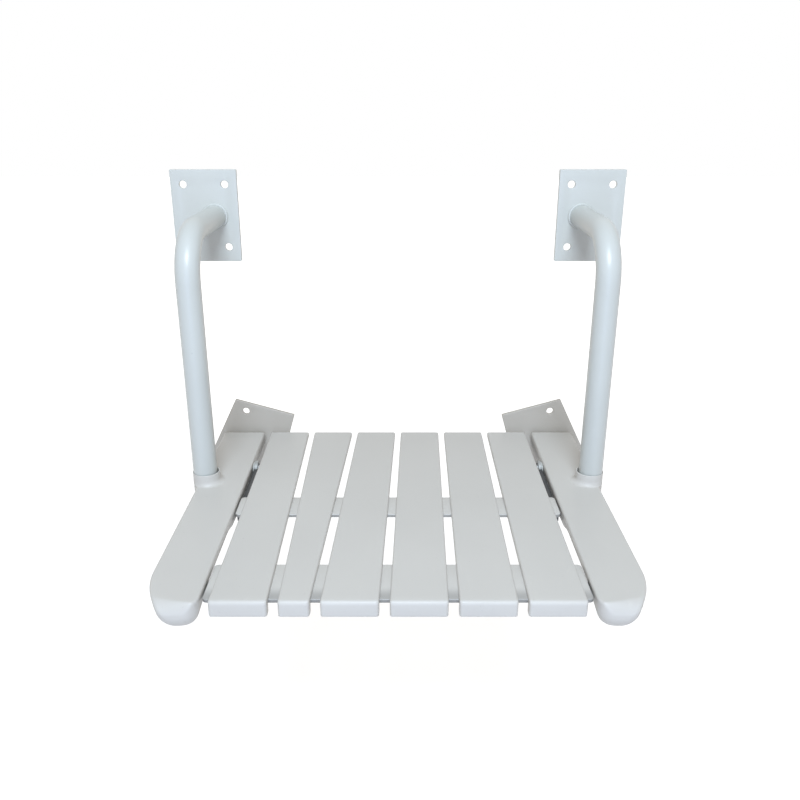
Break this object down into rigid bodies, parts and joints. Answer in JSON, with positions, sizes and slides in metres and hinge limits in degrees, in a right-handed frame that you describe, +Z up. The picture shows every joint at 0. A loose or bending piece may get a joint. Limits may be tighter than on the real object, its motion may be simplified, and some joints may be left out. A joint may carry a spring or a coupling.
{
  "type": "fold down wall seat",
  "caption": "Wall seat on bent tube arms that end in fixed outer rails, with a slatted panel hinged near the wall that folds up between the arms.",
  "frame": {"origin": "on the wall, midway between the two upper wall plates and level with the middle of their holes", "axes": "+X to the right of someone who faces the wall, +Y into the wall, +Z up"},
  "size_m": [0.548, 0.405, 0.4019],
  "materials": {
    "frame_paint": "satin",
    "lower_plate_paint": "satin",
    "slat_plastic": "satin",
    "panel_paint": "satin",
    "strap_steel": "brushed",
    "hinge_steel": "brushed",
    "hinge_spacer": "satin",
    "bush_brass": "satin",
    "screw_steel": "brushed",
    "bar_plug": "matte",
    "stop_rubber": "matte"
  },
  "bodies": {
    "wall_frame": {"left_upper_plate": "frame_paint", "right_upper_plate": "frame_paint", "left_root_weld": "frame_paint", "right_root_weld": "frame_paint", "left_arm_tube": "frame_paint", "right_arm_tube": "frame_paint", "left_arm_foot": "frame_paint", "right_arm_foot": "frame_paint", "left_side_bar": "frame_paint", "right_side_bar": "frame_paint", "left_lower_plate": "lower_plate_paint", "right_lower_plate": "lower_plate_paint", "left_bar_plug": "bar_plug", "right_bar_plug": "bar_plug", "left_hinge_boss": "hinge_steel", "right_hinge_boss": "hinge_steel", "left_hinge_pin": "hinge_steel", "right_hinge_pin": "hinge_steel", "left_hinge_spacer": "hinge_spacer", "right_hinge_spacer": "hinge_spacer", "left_stop_tab": "frame_paint", "right_stop_tab": "frame_paint", "left_stop_pad": "stop_rubber", "right_stop_pad": "stop_rubber", "left_side_rail": "slat_plastic", "right_side_rail": "slat_plastic", "left_rail_screws": "screw_steel", "right_rail_screws": "screw_steel"},
    "seat_panel": {"left_hinge_strap": "strap_steel", "right_hinge_strap": "strap_steel", "left_hinge_bush": "bush_brass", "right_hinge_bush": "bush_brass", "rear_cross_bar": "panel_paint", "rear_slat_screws": "screw_steel", "front_cross_bar": "panel_paint", "front_slat_screws": "screw_steel", "slat_1": "slat_plastic", "slat_2": "slat_plastic", "slat_3": "slat_plastic", "slat_4": "slat_plastic", "slat_5": "slat_plastic", "slat_6": "slat_plastic"}
  },
  "joints": [
    {"name": "seat_fold", "type": "hinge", "parent": "wall_frame", "child": "seat_panel", "pos_m": [0, -0.101, -0.293], "axis": [-1, 0, 0], "range_deg": [0, 105]}
  ]
}
